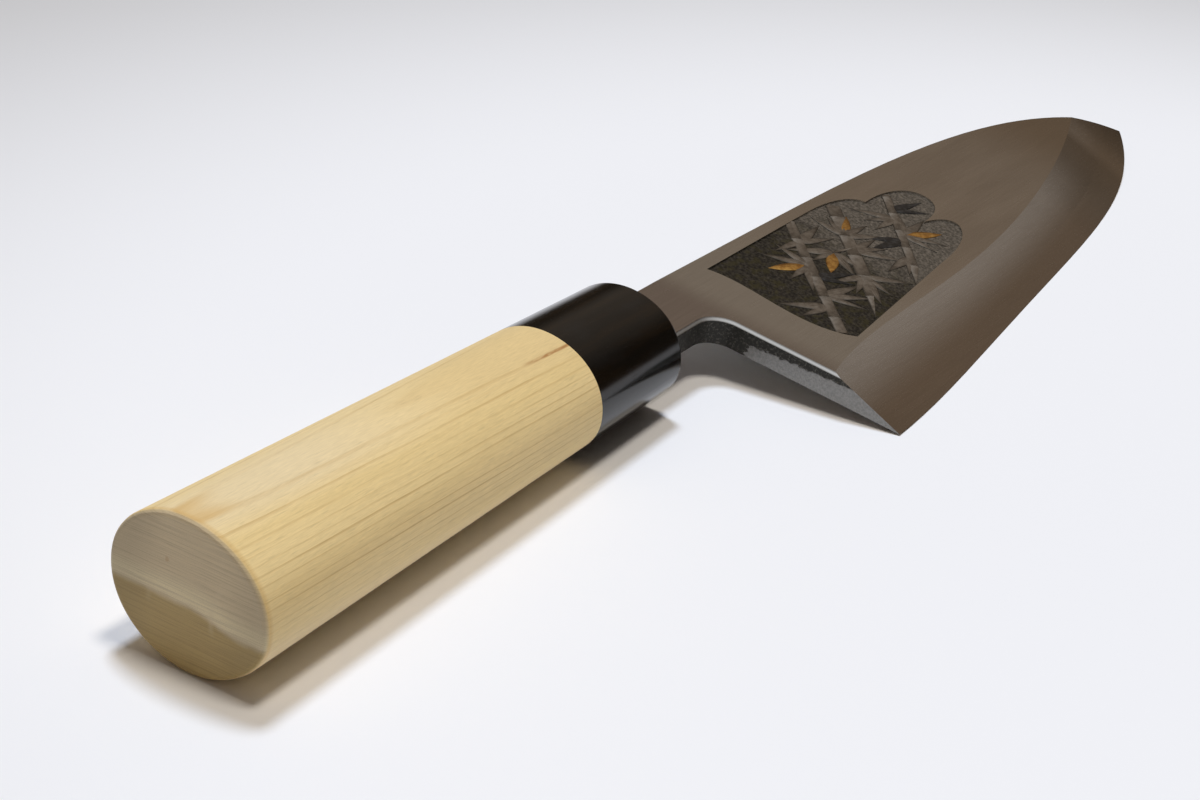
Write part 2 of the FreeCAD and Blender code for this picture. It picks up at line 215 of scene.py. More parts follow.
def makeScratches():
    tree, given = startGroup("scratches", [
        ("Place", "Vector", (0, 0, 0)), ("Fineness", "Float", 1.0), ("Amount", "Float", 0.5)],
        [("Mask", "Float")])
    mask = 0.0
    threshold = mixValue(tree, given["Amount"], *scratchLook["threshold"])
    for slant in scratchLook["slants"]:
        values = {"Vector": given["Place"], "Axis": scratchLook["axis"], "Angle": slant}
        turned = addNode(tree, "VectorRotate", values, rotation_type="AXIS_ANGLE").outputs[0]
        streak = cloud(tree, resize(tree, turned, given["Fineness"]), scratchLook["cells"], 1.0)
        over = minus(tree, streak, threshold)
        mask = calc(tree, "ADD", mask, ramp(tree, over, 0.0, scratchLook["edge"]))
    return finishGroup(tree, {"Mask": calc(tree, "MINIMUM", mask, 1.0)})


# grinding lines along the blade, and a slow change of tone
def makeGroundMetal():
    tree, given = startGroup("groundMetal", [
        ("Place", "Vector", (0, 0, 0)), ("Fineness", "Float", 1.0)],
        [("Line", "Float"), ("Tone", "Float")])
    fine = resize(tree, given["Place"], given["Fineness"])
    return finishGroup(tree, {
        "Line": cloud(tree, fine, (0.05, 7.0, 3.0), 3.0, 0.6),
        "Tone": cloud(tree, given["Place"], (0.02, 0.11, 0.11), 3.0, 0.55)})


# dark forge scale on the choil and under the neck, with a ragged border to the ground strip
choilLook = {
    "stripStart": -15.3,        # across: where the ground strip starts
    "startRagged": 6.0,         # mm
    "border": 0.54,             # the scale's lower border there, as a share of the depth
    "borderFall": 0.0105,       # share per mm towards the heel
    "borderRagged": 0.34,
    "raggedCells": (0.9, 0.6, 1.4),
    "grainCells": (2.2, 2.2, 2.2),
}


def makeChoilScale():
    tree, _ = startGroup("choilScale", [], [
        ("Wall", "Float"), ("Scale", "Float"), ("Depth", "Float"), ("Grain", "Float")])
    place = useGroup(tree, knifePlace)
    # the wall: upright faces as far as the heel, without the spine
    upright = ramp(tree, calc(tree, "ABSOLUTE", facing(tree, outward)), 0.5, 0.3)
    turnedAway = ramp(tree, facing(tree, across), 0.45, 0.15)
    notSpine = calc(tree, "MAXIMUM", turnedAway, ramp(tree, place["Across"], -4.0, -7.0))
    wall = times(tree, upright, notSpine)
    wall = times(tree, wall, ramp(tree, place["Along"], 147.0, 144.0))
    # depth below the flat, as a share of the thickness
    startX, _, startZ = flatOfBlade["start"]
    ahead = calc(tree, "MAXIMUM", minus(tree, place["Along"], startX), 0.0)
    fall = times(tree, ahead, flatOfBlade["slope"])
    below = minus(tree, minus(tree, startZ, fall), place["Out"])
    thickness = minus(tree, flatOfBlade["neckThickness"], fall)
    depth = calc(tree, "DIVIDE", below, thickness)
    # the scale reaches down to its border, and all the way down near the neck
    ragged = waver(tree, place["Place"], choilLook["raggedCells"], 4.0, 0.7)
    heelward = minus(tree, choilLook["stripStart"], place["Across"])
    border = scaleAdd(tree, heelward, -choilLook["borderFall"], choilLook["border"])
    border = scaleAdd(tree, ragged, choilLook["borderRagged"], border)
    raggedStart = scaleAdd(tree, ragged, choilLook["startRagged"], heelward)
    border = scaleAdd(tree, ramp(tree, raggedStart, 1.3, -0.9), 1.5, border)
    return finishGroup(tree, {
        "Wall": wall,
        "Scale": ramp(tree, minus(tree, border, depth), -0.04, 0.05),
        "Depth": depth,
        "Grain": cloud(tree, place["Place"], choilLook["grainCells"], 4.0, 0.7)})


# height above the flat, for every piece of the engraved design
def makeFlatHeight():
    tree, _ = startGroup("flatHeight", [], [("Height", "Float"), ("Ahead", "Float")])
    place = useGroup(tree, knifePlace)
    startX, _, startZ = flatOfBlade["start"]
    ahead = minus(tree, place["Along"], startX)
    flatLevel = scaleAdd(tree, ahead, -flatOfBlade["slope"], startZ)
    return finishGroup(tree, {"Height": minus(tree, place["Out"], flatLevel), "Ahead": ahead})


knifePlace = makeKnifePlace()
scratches = makeScratches()
groundMetal = makeGroundMetal()
choilScale = makeChoilScale()
flatHeight = makeFlatHeight()
print("shared effects built")


# wood of the handle

woodLook = {
    "ringTilt": (0.0265, 0.156, 0.988),     # normal of the growth layers
    "ringPitch": 1.12,                      # mm
    "ringWave": 0.7,                        # mm
    "ringUneven": 1.3,                      # mm
    "ringWeight": 0.68,
    "ringRelief": 0.4,                      # against the fibres
    "plainAbove": 13.4,                     # layer above which the top is plain
    "plainBelow": -3.0,
    "topFewer": 0.88,                       # share of the ring lines that the top loses
    "lowFewer": 0.75,
    "heartBelow": -1.5,                     # layer where the heartwood starts
    "sapPale": rgb(0.90, 0.695, 0.345),
    "sapDeep": rgb(0.82, 0.62, 0.29),
    "sapTopAndSheen": rgb(0.82, 0.665, 0.40),       # plain wood on top, by the butt, paler and greyer as a painted sheen
    "sapFar": rgb(0.765, 0.575, 0.28),      # and by the ferrule
    "sapLowBounceLight": rgb(0.86, 0.69, 0.44),        # plain wood low on the side, paler as painted bounce light from the table
    "ringLine": rgb(0.55, 0.345, 0.12),
    "endPale": rgb(0.69, 0.555, 0.35),
    "endBand": rgb(0.90, 0.78, 0.49),       # paler wood beside the heartwood
    "endLine": rgb(0.41, 0.32, 0.20),
    "endHeart": rgb(0.73, 0.65, 0.42),      # multiplied
    "streak": rgb(0.42, 0.20, 0.065),
    "amber": rgb(0.66, 0.42, 0.15),
    "ray": rgb(0.68, 0.555, 0.36),
    "rayAt": (-5.0, -0.045),                # across, and its curve
    "faintRayAt": 7.0,
    "knotAt": (0.0, 4.5, 4.5),
    "rough": (0.46, 0.16),                  # least, and what the fibres add
    "bump": (0.35, 0.00004),                # strength, and distance in metres
}


def growthRings(tree, spot):  # layer in mm, late wood, and how strong each ring is
    layer = vectorValue(tree, "DOT_PRODUCT", spot, woodLook["ringTilt"])
    wave = waver(tree, spot, (0.018, 0.05, 0.05))
    layer = scaleAdd(tree, wave, woodLook["ringWave"], layer)
    layerOnly = addNode(tree, "CombineXYZ", {"Z": layer}).outputs[0]
    uneven = waver(tree, layerOnly, (1.0, 1.0, 0.33), 1.0)
    unevenLayer = scaleAdd(tree, uneven, woodLook["ringUneven"], layer)
    ringCount = calc(tree, "DIVIDE", unevenLayer, woodLook["ringPitch"])
    lateWood = band(tree, calc(tree, "FRACT", ringCount), (0.74, 0.94), (1.0, 0.96))
    number = {"W": calc(tree, "FLOOR", ringCount)}
    chance = addNode(tree, "TexWhiteNoise", number, noise_dimensions="1D").outputs["Value"]
    power = scaleAdd(tree, calc(tree, "POWER", chance, 1.3), 0.80, 0.34)
    patchy = ramp(tree, cloud(tree, spot, (0.03, 0.4, 0.4), 3.0), 0.30, 0.68, 0.2, 1.0)
    return layer, lateWood, times(tree, power, patchy)


def sideWood(tree, place, layer, rings, fibre, lowDown):
    spot, butt = place["Place"], place["Along"]
    plainAbove = woodLook["plainAbove"]
    broad = ramp(tree, cloud(tree, spot, (0.012, 0.14, 0.14), 3.0), 0.3, 0.7)
    colour = mixColour(tree, broad, woodLook["sapDeep"], woodLook["sapPale"])
    topMask = ramp(tree, layer, plainAbove - 2.0, plainAbove + 0.5)
    farShare = times(tree, topMask, ramp(tree, butt, 35.0, 75.0, 0.0, 0.9))
    colour = mixColour(tree, farShare, colour, woodLook["sapFar"])
    # the top by the butt: plain wood, paler as a painted sheen
    topSheenShare = times(tree, topMask, ramp(tree, butt, 70.0, 20.0, 0.0, 0.95))
    colour = mixColour(tree, topSheenShare, colour, woodLook["sapTopAndSheen"])
    # paler low on the side: painted bounce light from the table
    colour = mixColour(tree, times(tree, lowDown, 0.8), colour, woodLook["sapLowBounceLight"])
    colour = mixColour(tree, times(tree, rings, woodLook["ringWeight"]), colour, woodLook["ringLine"])
    fineLayer = addNode(tree, "CombineXYZ", {"X": times(tree, butt, 0.015), "Z": layer}).outputs[0]
    fineLine = cloud(tree, fineLayer, (1.0, 1.0, 2.6), 2.0, 0.6)
    fineLine = ramp(tree, fineLine, 0.52, 0.72, 0.0, 0.16)
    colour = mixColour(tree, fineLine, colour, woodLook["ringLine"])
    # fibres: short dark dashes and a few pale ones
    tone = ramp(tree, fibre, 0.25, 0.75, 0.93, 1.05)
    dash = ramp(tree, cloud(tree, spot, (0.28, 3.4, 3.4), 1.0), 0.62, 0.74)
    paleDash = ramp(tree, cloud(tree, spot, (0.5, 4.6, 4.6), 1.0), 0.66, 0.76)
    tone = scaleAdd(tree, dash, -0.08, tone)
    tone = scaleAdd(tree, paleDash, 0.06, tone)
    colour = tint(tree, colour, tone)
    # one resin line, amber at the butt and red-brown by the ferrule
    lineOffset = calc(tree, "ABSOLUTE", minus(tree, layer, plainAbove))
    amberLine = times(tree, ramp(tree, lineOffset, 0.26, 0.05), ramp(tree, butt, 11.0, 2.0))
    colour = mixColour(tree, times(tree, amberLine, 0.6), colour, woodLook["amber"])
    thinLine = times(tree, ramp(tree, lineOffset, 0.16, 0.04), ramp(tree, butt, 78.0, 84.0))
    broken = ramp(tree, cloud(tree, spot, (0.4, 3.0, 3.0), 3.0), 0.3, 0.55, 0.35, 1.0)
    thinLine = times(tree, thinLine, broken)
    thinLine = times(tree, thinLine, ramp(tree, place["Across"], 0.0, -2.0, 0.0, 0.9))
    colour = mixColour(tree, thinLine, colour, woodLook["streak"])
    # the handled rim at the butt is a little more amber
    rimWear = band(tree, butt, (0.3, 0.6), (1.7, 0.9, 0.0, 0.38))
    return mixColour(tree, rimWear, colour, woodLook["amber"])


def endWood(tree, place, layer, lateWood, ringPower, pores):
    spot, side, out = place["Place"], place["Across"], place["Out"]
    # heartwood below a soft border, with paler wood above it
    stepped = waver(tree, spot, (0.01, 0.16, 0.5), 3.0, 0.7)
    level = minus(tree, calc(tree, "ADD", stepped, layer), woodLook["heartBelow"])
    level = calc(tree, "ADD", level, ramp(tree, side, 0.0, -12.0, 0.0, 2.0))
    paleShare = times(tree, band(tree, level, (0.0, 0.9), (5.0, 1.6)), 0.6)
    colour = mixColour(tree, paleShare, woodLook["endPale"], woodLook["endBand"])
    # fine ring lines and pores
    fineLayer = addNode(tree, "CombineXYZ", {"Y": times(tree, side, 0.07), "Z": layer}).outputs[0]
    lines = cloud(tree, fineLayer, (1.0, 1.0, 5.2), 3.0, 0.65)
    lines = ramp(tree, lines, 0.44, 0.70, 0.0, 0.50)
    endRings = times(tree, lateWood, scaleAdd(tree, ringPower, 0.45, 0.12))
    colour = mixColour(tree, calc(tree, "MAXIMUM", lines, endRings), colour, woodLook["endLine"])
    colour = mixColour(tree, ramp(tree, pores, 0.45, 0.75, 0.0, 0.35), colour, woodLook["endLine"])
    heart = ramp(tree, level, 0.55, -0.75)
    colour = mixColour(tree, heart, colour, woodLook["endHeart"], "MULTIPLY")
    # two wood rays and a small knot
    rayStart, rayCurve = woodLook["rayAt"]
    rayLine = scaleAdd(tree, times(tree, out, out), rayCurve, rayStart)
    rayGap = calc(tree, "ABSOLUTE", minus(tree, side, rayLine))
    ray = times(tree, ramp(tree, rayGap, 0.85, 0.05), band(tree, out, (-4.6, -2.0), (6.2, 4.0)))
    faintGap = calc(tree, "ABSOLUTE", minus(tree, side, woodLook["faintRayAt"]))
    faintRay = ramp(tree, faintGap, 0.8, 0.1, 0.0, 0.5)
    faintRay = times(tree, faintRay, band(tree, out, (-5.2, -4.0), (0.3, -0.9)))
    rays = times(tree, calc(tree, "MAXIMUM", ray, faintRay), 0.28)
    colour = mixColour(tree, rays, colour, woodLook["ray"])
    knotGap = vectorValue(tree, "DISTANCE", spot, woodLook["knotAt"])
    knot = scaleAdd(tree, cloud(tree, spot, (2.0, 2.0, 2.0)), -0.9, knotGap)
    colour = mixColour(tree, ramp(tree, knot, 0.1, -0.2, 0.0, 0.32), colour, woodLook["streak"])
    # darker towards both sides: painted shade
    return tint(tree, colour, band(tree, side, (-14.0, -5.0, 0.82, 1.0), (4.0, 13.0, 1.0, 0.80)))


def makeWood():
    material, tree, shader = startMaterial("handleWood", Specular_IOR_Level=0.3)
    place = useGroup(tree, knifePlace)
    layer, lateWood, ringPower = growthRings(tree, place["Place"])
    # fewer ring lines on top and low on the side
    onTop = ramp(tree, layer, woodLook["plainAbove"] + 0.05, woodLook["plainAbove"] + 0.5)
    lowDown = ramp(tree, layer, woodLook["plainBelow"] + 2.5, woodLook["plainBelow"] - 3.0)
    rings = times(tree, lateWood, ringPower)
    rings = times(tree, rings, scaleAdd(tree, onTop, -woodLook["topFewer"], 1.0))
    rings = times(tree, rings, scaleAdd(tree, lowDown, -woodLook["lowFewer"], 1.0))
    fibre = cloud(tree, place["Place"], (0.35, 6.0, 6.0), 2.0, 0.6)
    pores = cloud(tree, place["Place"], (1.0, 4.5, 7.0), 3.0, 0.7)
    sideColour = sideWood(tree, place, layer, rings, fibre, lowDown)
    endColour = endWood(tree, place, layer, lateWood, ringPower, pores)
    sawnEnd = ramp(tree, place["Along"], 0.75, 0.12)
    colour = mixColour(tree, sawnEnd, sideColour, endColour)
    leastRough, fibreRough = woodLook["rough"]
    rough = scaleAdd(tree, fibre, fibreRough, leastRough)
    sideRelief = scaleAdd(tree, rings, -woodLook["ringRelief"], fibre)
    relief = mixValue(tree, sawnEnd, sideRelief, pores)
    finishMaterial(tree, shader, colour, rough, relief, woodLook["bump"])
    return material


nodes["handle"].material_slots[0].material = makeWood()
print("handle wood done")


# polished black ferrule

ferruleLook = {
    "black": rgb(0.0022, 0.0018, 0.0014),
    "brown": rgb(0.0075, 0.0042, 0.0018),   # long streaks
    "grey": rgb(0.005, 0.0047, 0.0044),
    "scratch": rgb(0.02, 0.018, 0.016),
    "sawn": rgb(0.022, 0.019, 0.016),       # front end, only sanded
    "rough": (0.11, 0.08),                  # least, and what the noise adds
    "sawnRough": 0.34,                      # added
    "scratchRough": 0.12,
    "scratchWeight": 0.25,
    "scratchRelief": 0.5,
    "bump": (0.12, 0.00002),
}


def makeHorn():
    material, tree, shader = startMaterial("ferruleHorn", IOR=1.47)
    spot = useGroup(tree, knifePlace)["Place"]
    streaks = cloud(tree, spot, (0.035, 0.55, 0.55), 3.0, 0.6)
    cloudy = cloud(tree, spot, (0.12, 0.3, 0.3))
    marks = useGroup(tree, scratches, {"Place": spot, "Fineness": 1.0, "Amount": 0.35})["Mask"]
    brownShare = ramp(tree, streaks, 0.42, 0.68)
    colour = mixColour(tree, brownShare, ferruleLook["black"], ferruleLook["brown"])
    colour = mixColour(tree, ramp(tree, cloudy, 0.5, 0.8), colour, ferruleLook["grey"])
    scratchShare = times(tree, marks, ferruleLook["scratchWeight"])
    colour = mixColour(tree, scratchShare, colour, ferruleLook["scratch"])
    frontEnd = ramp(tree, facing(tree, along), 0.75, 0.95)
    sawnShare = times(tree, frontEnd, ramp(tree, streaks, 0.3, 0.7, 0.4, 1.0))
    colour = mixColour(tree, sawnShare, colour, ferruleLook["sawn"])
    leastRough, moreRough = ferruleLook["rough"]
    rough = scaleAdd(tree, cloud(tree, spot, (0.3, 0.9, 0.9), 3.0), moreRough, leastRough)
    rough = scaleAdd(tree, frontEnd, ferruleLook["sawnRough"], rough)
    rough = scaleAdd(tree, marks, ferruleLook["scratchRough"], rough)
    relief = scaleAdd(tree, marks, -ferruleLook["scratchRelief"], streaks)
    finishMaterial(tree, shader, colour, rough, relief, ferruleLook["bump"])
    return material


# set resin at the mouth and round the tang
resinLook = {
    "mouth": (rgb(0.022, 0.019, 0.016), rgb(0.052, 0.043, 0.034)),  # dark and pale
    "bed": (rgb(0.055, 0.038, 0.024), rgb(0.11, 0.082, 0.055)),
    "rough": (0.35, 0.3),                   # least, and what the lumps add
    "bump": (0.4, 0.0001),                  # strength and distance
}


def makeResin(name, dark, pale):
    material, tree, shader = startMaterial(name)
    spot = useGroup(tree, knifePlace)["Place"]
    lumps = cloud(tree, spot, (0.9, 0.9, 0.9), 4.0, 0.6)
    colour = mixColour(tree, ramp(tree, lumps, 0.3, 0.7), dark, pale)
    leastRough, moreRough = resinLook["rough"]
    rough = scaleAdd(tree, lumps, moreRough, leastRough)
    finishMaterial(tree, shader, colour, rough, lumps, resinLook["bump"])
    return material


nodes["ferrule"].material_slots[0].material = makeHorn()
nodes["mouth_seal"].material_slots[0].material = makeResin("mouthResin", *resinLook["mouth"])
nodes["tang_bed"].material_slots[0].material = makeResin("bedResin", *resinLook["bed"])
print("ferrule and resin done")


# blade: soft iron body and hard steel layer share the ground finish and the choil's scale

bladeLook = {
    "ironFlat": rgb(0.57, 0.52, 0.465),
    "ironDull": rgb(0.50, 0.45, 0.395),
    "heelFlat": rgb(0.56, 0.55, 0.525),     # greyer by the choil
    "heelFade": (205.0, 150.0, 0.0, 0.9),   # along the knife, then the weights
    "neckDull": rgb(0.40, 0.36, 0.34),
    "neckFade": (148.0, 139.0),
    "tipFlat": rgb(0.42, 0.343, 0.26),
    "tipFade": (262.0, 300.0),
    "bevelSheenBand": rgb(0.66, 0.67, 0.69),     # pale band beside the bevel's upper border: painted sheen
    # darker and browner towards the edge: partly patina, partly painted reflection
    "bevelLowPatinaAndReflection": rgb(0.36, 0.30, 0.245),
    "stripDark": rgb(0.19, 0.185, 0.175),   # ground strip at the choil
    "stripPale": rgb(0.28, 0.27, 0.255),
    "scaleDark": rgb(0.032, 0.030, 0.025),
    "scalePale": rgb(0.15, 0.14, 0.12),
    "rimGrey": rgb(0.34, 0.32, 0.295),      # chamfered rim of the choil
    # painted highlight along the choil's chamfer
    "rimPaintedHighlight": rgb(0.95, 0.95, 0.94),
    "flatRough": 0.20,
    "bevelRough": 0.21,
    "stripRough": 0.42,
    "rimRough": 0.46,
    "scaleRough": 0.62,
    "lineRough": 0.08,                      # added by the grinding lines
    "scratchRough": 0.04,
    "scaleDulls": 0.55,                     # share of Metallic that the scale loses
    "lineRelief": 0.25,
    "scaleRelief": 6.0,
    "bump": (0.25, 0.00002),
    "tipReflectionSlant": 0.355,                      # slant of the painted reflection bands at the tip
    "tipAcross": -16.6,                     # where it is counted from
    "tipPaintedReflection": (                           # along the knife, tone: painted reflection, dark bands with one light streak
        (264, 1.0), (278, 0.74), (290, 0.30), (300, 0.27),
        (305, 1.2), (309, 1.0), (314, 0.38), (320, 0.22),
    ),
}


def toneAlong(tree, value, stops):  # grey tone through a few set stops
    first, last = stops[0][0], stops[-1][0]
    values = {"Value": value, "From Min": first, "From Max": last}
    share = addNode(tree, "MapRange", values).outputs["Result"]
    node = addNode(tree, "ValToRGB", {0: share})
    elements = node.color_ramp.elements
    for place, tone in stops[1:-1]:
        elements.new((place - first) / (last - first)).color = rgb(tone, tone, tone)
    for end in (0, -1):
        tone = stops[end][1]
        elements[end].color = rgb(tone, tone, tone)
    return node.outputs["Color"]


def makeBlade(name):
    material, tree, shader = startMaterial(name)
    place = useGroup(tree, knifePlace)
    finish = useGroup(tree, groundMetal, {"Place": place["Place"], "Fineness": 1.0})
    choil = useGroup(tree, choilScale)
    values = {"Place": place["Place"], "Fineness": 0.8, "Amount": 0.2}
    marks = useGroup(tree, scratches, values)["Mask"]
    lean = facing(tree, outward)
    # flat: greyer by the choil, duller on the neck, browner at the tip
    tone = ramp(tree, finish["Tone"], 0.3, 0.7)
    flat = mixColour(tree, tone, bladeLook["ironDull"], bladeLook["ironFlat"])
    for part, fade in (("heelFlat", "heelFade"), ("neckDull", "neckFade"), ("tipFlat", "tipFade")):
        share = ramp(tree, place["Along"], *bladeLook[fade])
        flat = mixColour(tree, share, flat, bladeLook[part])
    # bevel, with slanting bands of painted reflection at the tip
    # painted sheen by the upper border, darker towards the edge: partly patina, partly painted
    # reflection
    lower = ramp(tree, choil["Depth"], 0.02, 0.75)
    ground = mixColour(tree, lower, bladeLook["bevelSheenBand"], bladeLook["bevelLowPatinaAndReflection"])
    aside = minus(tree, place["Across"], bladeLook["tipAcross"])
    reflectionBandPlace = scaleAdd(tree, aside, -bladeLook["tipReflectionSlant"], place["Along"])
    ground = tint(tree, ground, toneAlong(tree, reflectionBandPlace, bladeLook["tipPaintedReflection"]))
    bevel = band(tree, lean, (0.75, 0.85), (0.992, 0.975))
    colour = mixColour(tree, bevel, flat, ground)
    colour = tint(tree, colour, ramp(tree, finish["Line"], 0.3, 0.7, 0.92, 1.07))
    # chamfered rim of the choil, with a painted highlight line
    rim = band(tree, lean, (0.45, 0.6), (0.90, 0.80))
    rim = times(tree, rim, ramp(tree, facing(tree, across), 0.2, 0.0))
    rimHighlightLine = band(tree, choil["Depth"], (0.0, 0.05), (0.115, 0.07))
    rimColour = mixColour(tree, rimHighlightLine, bladeLook["rimGrey"], bladeLook["rimPaintedHighlight"])
    colour = mixColour(tree, rim, colour, rimColour)
    # choil: ground strip and scale
    stripShare = ramp(tree, choil["Grain"], 0.3, 0.7)
    strip = mixColour(tree, stripShare, bladeLook["stripDark"], bladeLook["stripPale"])
    scaleShare = ramp(tree, choil["Grain"], 0.50, 0.70)
    scale = mixColour(tree, scaleShare, bladeLook["scaleDark"], bladeLook["scalePale"])
    wallColour = mixColour(tree, choil["Scale"], strip, scale)
    colour = mixColour(tree, choil["Wall"], colour, wallColour)
    scaled = times(tree, choil["Wall"], choil["Scale"])
    rough = mixValue(tree, bevel, bladeLook["flatRough"], bladeLook["bevelRough"])
    rough = scaleAdd(tree, finish["Line"], bladeLook["lineRough"], rough)
    rough = scaleAdd(tree, marks, bladeLook["scratchRough"], rough)
    rough = mixValue(tree, choil["Wall"], rough, bladeLook["stripRough"])
    rough = mixValue(tree, rim, rough, bladeLook["rimRough"])
    rough = mixValue(tree, scaled, rough, bladeLook["scaleRough"])
    metallic = scaleAdd(tree, scaled, -bladeLook["scaleDulls"], 1.0)
    tree.links.new(metallic, shader.inputs["Metallic"])
    relief = times(tree, finish["Line"], bladeLook["lineRelief"])
    scaleGrain = times(tree, scaled, choil["Grain"])
    relief = scaleAdd(tree, scaleGrain, bladeLook["scaleRelief"], relief)
    finishMaterial(tree, shader, colour, rough, relief, bladeLook["bump"])
    return material


nodes["blade_iron"].material_slots[0].material = makeBlade("bladeIron")
nodes["edge_steel"].material_slots[0].material = makeBlade("edgeSteel")
print("blade finishes done")


# engraved design on the flat, drawn in the flat's own millimetres:
# x ahead of the choil, y towards the spine, z above the flat

engraving = {
    "depth": 0.45,
    "floorShare": 0.8,                      # share of the depth at which the floor counts as reached
    "floorFacing": 0.999,                   # how squarely the floor faces out
    "span": (9.0, 93.0, -31.5, 4.5),        # room of the design: x from, x to, y from, y to
    "reach": 60.0,                          # longer than any way to the outline
}
flatStart = Matrix.Translation(Vector(flatOfBlade["start"]) * millimetre)
flatTurn = Matrix.Rotation(math.atan(flatOfBlade["slope"]), 4, "Y")
flatToWorld = knifeToWorld @ flatStart @ flatTurn @ Matrix.Scale(millimetre, 4)
worldToFlat = flatToWorld.inverted()
intoFlat = -flatToWorld.to_3x3().col[2].normalized()
viewNow = bpy.context.evaluated_depsgraph_get()
closeBy = 0.01                  # points nearer than this share a grid line


def insideEngraving(x, y):  # a ray into the flat reaches the engraved floor only inside its outline
    begin = flatToWorld @ Vector((x, y, 1.0))
    hit, spot, normal, _ = nodes["blade_iron"].ray_cast(begin, intoFlat, depsgraph=viewNow)
    deep = hit and (worldToFlat @ spot).z < -engraving["floorShare"] * engraving["depth"]
    return deep and normal.dot(intoFlat) < -engraving["floorFacing"]


def selectOnly(*pieces):
    bpy.ops.object.select_all(action="DESELECT")
    for piece in pieces:
        piece.select_set(True)
    bpy.context.view_layer.objects.active = pieces[0]


def pickPoints(piece, test):  # in edit mode, selects the points that pass
    bpy.ops.mesh.select_all(action="DESELECT")
    shape = bmesh.from_edit_mesh(piece.data)
    for point in shape.verts:
        point.select = test(point.co)
    shape.select_flush_mode()
    bmesh.update_edit_mesh(piece.data)


def applyModifier(piece, kind, **settings):
    selectOnly(piece)
    modifier = piece.modifiers.new(kind.lower(), kind)
    for name, value in settings.items():
        setattr(modifier, name, value)
    bpy.ops.object.modifier_apply(modifier=modifier.name)


def placeOnFlat(piece, x, y, z, turn=0.0, size=(1.0, 1.0, 1.0)):
    turned = Matrix.Rotation(math.radians(turn), 4, "Z")
    sized = Matrix.Diagonal((*size, 1.0))
    piece.matrix_world = Matrix.Translation((x, y, z)) @ turned @ sized
    selectOnly(piece)
    bpy.ops.object.transform_apply(location=True, rotation=True, scale=True)


def copyPiece(pattern):
    copied = pattern.copy()
    copied.data = pattern.data.copy()
    bpy.context.collection.objects.link(copied)
    return copied


def joinPieces(pieces):
    selectOnly(*pieces)
    if len(pieces) > 1:
        bpy.ops.object.join()
    return bpy.context.object


def dropPiece(piece):
    bpy.data.objects.remove(piece, do_unlink=True)


def finishOnBlade(piece, name, material, angle=40.0):
    piece.matrix_world = flatToWorld
    selectOnly(piece)
    bpy.ops.object.transform_apply(location=True, rotation=True, scale=True)
    bpy.ops.object.shade_smooth_by_angle(angle=math.radians(angle))
    piece.name = name
    piece.data.name = name
    piece.data.materials.clear()
    piece.data.materials.append(material)
    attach(piece, "root")
    print(name, len(piece.data.polygons), "faces")


# the ground: a punched, darkened sheet on the engraved floor
groundLook = {
    "cell": 0.27,               # mm between grid lines
    "level": -0.375,
    "marks": (                  # kind, size and height of the punched texture
        ("VORONOI", 0.75, 0.07),
        ("CLOUDS", 0.34, 0.10),
    ),
    "thickness": 0.03,
    "smoothUnder": 60.0,        # degrees
    "valley": rgb(0.024, 0.021, 0.017),
    "peak": rgb(0.125, 0.113, 0.092),
    "farValley": rgb(0.15, 0.135, 0.112),
    "farPeak": rgb(0.42, 0.38, 0.325),
    "fleck": rgb(0.40, 0.31, 0.13),
    "moss": rgb(0.085, 0.075, 0.032),
    "far": (38.0, 62.0),        # ahead of the choil: the ground turns to bare iron
    "farPatchy": 30.0,          # mm
    "rough": (0.5, -0.12),
    "bump": (0.5, 0.00004),
}


def shapeGround():
    xFrom, xTo, yFrom, yTo = engraving["span"]
    bpy.ops.object.select_all(action="DESELECT")
    bpy.ops.mesh.primitive_grid_add(
        x_subdivisions=int((xTo - xFrom) / groundLook["cell"]),
        y_subdivisions=int((yTo - yFrom) / groundLook["cell"]), size=1.0)
    ground = bpy.context.object
    middle = ((xFrom + xTo) / 2, (yFrom + yTo) / 2)
    placeOnFlat(ground, *middle, groundLook["level"], size=(xTo - xFrom, yTo - yFrom, 1.0))
    bpy.ops.object.mode_set(mode="EDIT")
    pickPoints(ground, lambda point: not insideEngraving(point.x, point.y))
    bpy.ops.mesh.delete(type="FACE")  # faces wholly outside; the last row ends inside the wall
    pickPoints(ground, lambda point: True)
    bpy.ops.object.mode_set(mode="OBJECT")
    for kind, size, height in groundLook["marks"]:
        texture = bpy.data.textures.new("punchMarks", kind)
        texture.noise_scale = size
        applyModifier(ground, "DISPLACE", texture=texture, texture_coords="LOCAL", direction="Z",
                      strength=height, mid_level=0.5)
    applyModifier(ground, "SOLIDIFY", thickness=groundLook["thickness"], offset=-1.0)
    return ground


